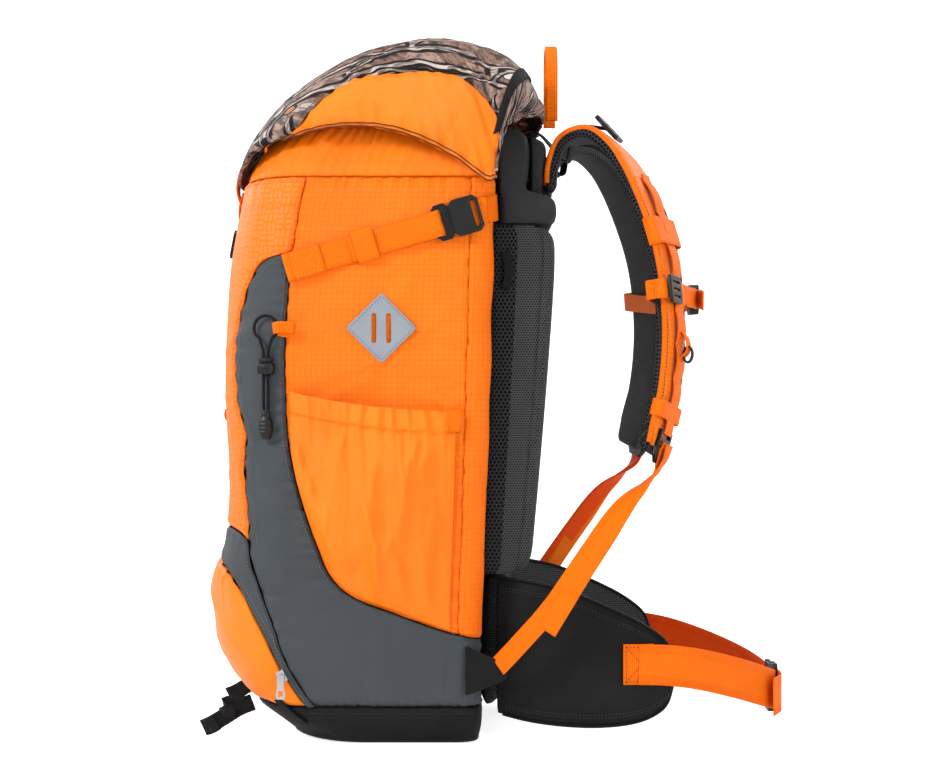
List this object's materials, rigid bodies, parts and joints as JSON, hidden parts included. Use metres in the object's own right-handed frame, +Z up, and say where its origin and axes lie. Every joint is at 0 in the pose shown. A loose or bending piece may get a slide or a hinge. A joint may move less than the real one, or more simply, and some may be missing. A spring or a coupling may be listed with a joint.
{
  "type": "hunting backpack",
  "caption": "Upright framed rucksack with a hinged lid, side pockets, zipped bottom pocket, padded shoulder straps and a buckled hip belt.",
  "frame": {"origin": "middle of the flat base, on the surface that the pack stands on", "axes": "+Z up, +Y towards the wearer's back, +X the wearer's right"},
  "size_m": [0.345, 0.5586, 0.682],
  "materials": {
    "orange_ripstop": "coated ripstop nylon, satin",
    "orange_webbing": "ribbed nylon webbing",
    "camo_cloth": "printed woven cloth, matt",
    "grey_cloth": "plain woven nylon, matt",
    "black_cloth": "heavy woven nylon, matt",
    "spacer_mesh": "knitted spacer mesh over foam",
    "black_plastic": "moulded acetal, fine texture",
    "black_cord": "braided elastic cord",
    "hdpe_sheet": "natural polyethylene sheet",
    "aluminium": "mill finish bar",
    "zip_metal": "plated zinc"
  },
  "bodies": {
    "pack": {"front_panel": "orange_ripstop", "side_panel_left": "orange_ripstop", "side_panel_right": "orange_ripstop", "corner_gusset_left": "grey_cloth", "corner_gusset_right": "grey_cloth", "back_panel": "black_cloth", "base_panel": "black_cloth", "collar": "orange_ripstop", "drawcord": "black_cord", "bottom_pocket": "orange_ripstop", "zip_band": "grey_cloth", "side_pocket_left": "orange_ripstop", "side_pocket_right": "orange_ripstop", "framesheet": "hdpe_sheet", "stay_left": "aluminium", "stay_right": "aluminium", "back_pad_left": "spacer_mesh", "back_pad_right": "spacer_mesh", "lumbar_pad": "black_cloth", "yoke_panel": "black_cloth", "side_buckle_female_left": "black_plastic", "side_buckle_female_right": "black_plastic", "front_buckle_female": "black_plastic", "bottom_strap_left": "black_cloth", "bottom_strap_right": "black_cloth", "bungee_cord_left": "black_cord", "bungee_cord_right": "black_cord", "bungee_pull_left": "black_plastic", "bungee_pull_right": "black_plastic", "adjuster_strap_left": "orange_webbing", "adjuster_strap_right": "orange_webbing"},
    "lid": {"lid_shell": "camo_cloth", "lid_strap": "orange_webbing", "lid_buckle_male": "black_plastic"},
    "haul_loop": {"haul_loop": "orange_webbing"},
    "drawcord_lock": {"drawcord_lock": "black_plastic"},
    "zip_slider": {"zip_slider": "zip_metal"},
    "zip_pull": {"zip_pull": "zip_metal"},
    "shoulder_left": {"shoulder_strap_left": "spacer_mesh"},
    "ladder_lock_left": {"ladder_lock_left": "black_plastic"},
    "lifter_lock_left": {"lifter_lock_left": "black_plastic"},
    "sternum_left": {"sternum_strap_left": "orange_webbing", "sternum_buckle_male": "black_plastic"},
    "hip_left": {"hip_wing_left": "black_cloth"},
    "hip_strap_left": {"hip_strap_left": "orange_webbing", "hip_buckle_male": "black_plastic"},
    "side_strap_left": {"side_strap_left": "orange_webbing", "side_buckle_male_left": "black_plastic"},
    "cord_lock_left": {"cord_lock_left": "black_plastic"},
    "shoulder_right": {"shoulder_strap_right": "spacer_mesh"},
    "ladder_lock_right": {"ladder_lock_right": "black_plastic"},
    "lifter_lock_right": {"lifter_lock_right": "black_plastic"},
    "sternum_right": {"sternum_strap_right": "orange_webbing", "sternum_buckle_female": "black_plastic"},
    "hip_right": {"hip_wing_right": "black_cloth"},
    "hip_strap_right": {"hip_strap_right": "orange_webbing", "hip_buckle_female": "black_plastic"},
    "side_strap_right": {"side_strap_right": "orange_webbing", "side_buckle_male_right": "black_plastic"},
    "cord_lock_right": {"cord_lock_right": "black_plastic"}
  },
  "joints": [
    {"name": "lid_hinge", "type": "hinge", "parent": "pack", "child": "lid", "pos_m": [0, 0.1345, 0.604], "axis": [-1, 0, 0], "range_deg": [0, 90]},
    {"name": "haul_loop_fold", "type": "hinge", "parent": "pack", "child": "haul_loop", "pos_m": [0, 0.1375, 0.5965], "axis": [-1, 0, 0], "range_deg": [0, 90]},
    {"name": "shoulder_right_swing", "type": "hinge", "parent": "pack", "child": "shoulder_right", "pos_m": [0.062, 0.134, 0.518], "axis": [1, 0, 0], "range_deg": [-8, 22]},
    {"name": "sternum_right_swing", "type": "hinge", "parent": "shoulder_right", "child": "sternum_right", "pos_m": [0.10104, 0.25557, 0.42301], "axis": [0, 0, -1], "range_deg": [0, 90]},
    {"name": "hip_right_swing", "type": "hinge", "parent": "pack", "child": "hip_right", "pos_m": [0.116, 0.082, 0.09], "axis": [0, 0, -1], "range_deg": [0, 17]},
    {"name": "hip_strap_right_swing", "type": "hinge", "parent": "hip_right", "child": "hip_strap_right", "pos_m": [0.1385, 0.214, 0.076], "axis": [0, 0, -1], "range_deg": [0, 90]},
    {"name": "side_strap_right_swing", "type": "hinge", "parent": "pack", "child": "side_strap_right", "pos_m": [0.15313, -0.108, 0.445], "axis": [0, 0.282, -0.9594], "range_deg": [0, 80]},
    {"name": "cord_lock_right_slide", "type": "slide", "parent": "pack", "child": "cord_lock_right", "axis": [0, 0, -1], "range_m": [-0.006, 0.024]},
    {"name": "ladder_lock_right_tilt", "type": "hinge", "parent": "shoulder_right", "child": "ladder_lock_right", "pos_m": [0.12035, 0.23864, 0.29489], "axis": [0.9057, -0.3746, 0.1984], "range_deg": [0, 40]},
    {"name": "lifter_lock_right_tilt", "type": "hinge", "parent": "shoulder_right", "child": "lifter_lock_right", "pos_m": [0.07836, 0.19759, 0.56745], "axis": [-0.9624, 0.2714, -0.0091], "range_deg": [0, 25]},
    {"name": "shoulder_left_swing", "type": "hinge", "parent": "pack", "child": "shoulder_left", "pos_m": [-0.062, 0.134, 0.518], "axis": [1, 0, 0], "range_deg": [-8, 22]},
    {"name": "sternum_left_swing", "type": "hinge", "parent": "shoulder_left", "child": "sternum_left", "pos_m": [-0.10104, 0.25557, 0.42301], "axis": [0, 0, 1], "range_deg": [0, 90]},
    {"name": "hip_left_swing", "type": "hinge", "parent": "pack", "child": "hip_left", "pos_m": [-0.116, 0.082, 0.09], "axis": [0, 0, 1], "range_deg": [0, 17]},
    {"name": "hip_strap_left_swing", "type": "hinge", "parent": "hip_left", "child": "hip_strap_left", "pos_m": [-0.1385, 0.214, 0.076], "axis": [0, 0, 1], "range_deg": [0, 90]},
    {"name": "side_strap_left_swing", "type": "hinge", "parent": "pack", "child": "side_strap_left", "pos_m": [-0.15313, -0.108, 0.445], "axis": [0, -0.282, 0.9594], "range_deg": [0, 80]},
    {"name": "cord_lock_left_slide", "type": "slide", "parent": "pack", "child": "cord_lock_left", "axis": [0, 0, -1], "range_m": [-0.006, 0.024]},
    {"name": "ladder_lock_left_tilt", "type": "hinge", "parent": "shoulder_left", "child": "ladder_lock_left", "pos_m": [-0.12035, 0.23864, 0.29489], "axis": [0.9057, 0.3746, -0.1984], "range_deg": [0, 40]},
    {"name": "lifter_lock_left_tilt", "type": "hinge", "parent": "shoulder_left", "child": "lifter_lock_left", "pos_m": [-0.07836, 0.19759, 0.56745], "axis": [-0.9624, -0.2714, 0.0091], "range_deg": [0, 25]},
    {"name": "zip_slide", "type": "slide", "parent": "pack", "child": "zip_slider", "axis": [-0.0089, -0.4594, 0.8882], "range_m": [0, 0.05]},
    {"name": "zip_pull_swing", "type": "hinge", "parent": "zip_slider", "child": "zip_pull", "pos_m": [0.15138, -0.11831, 0.066], "axis": [-0.1724, -0.985, 0], "range_deg": [0, 90]},
    {"name": "drawcord_lock_slide", "type": "slide", "parent": "pack", "child": "drawcord_lock", "axis": [0, -0.5599, -0.8286], "range_m": [0, 0.018]}
  ],
  "couplings": [
    {"joint": "haul_loop_fold", "follows": "lid_hinge", "ratio": 1},
    {"joint": "shoulder_left_swing", "follows": "shoulder_right_swing", "ratio": 1},
    {"joint": "hip_left_swing", "follows": "hip_right_swing", "ratio": 1}
  ]
}
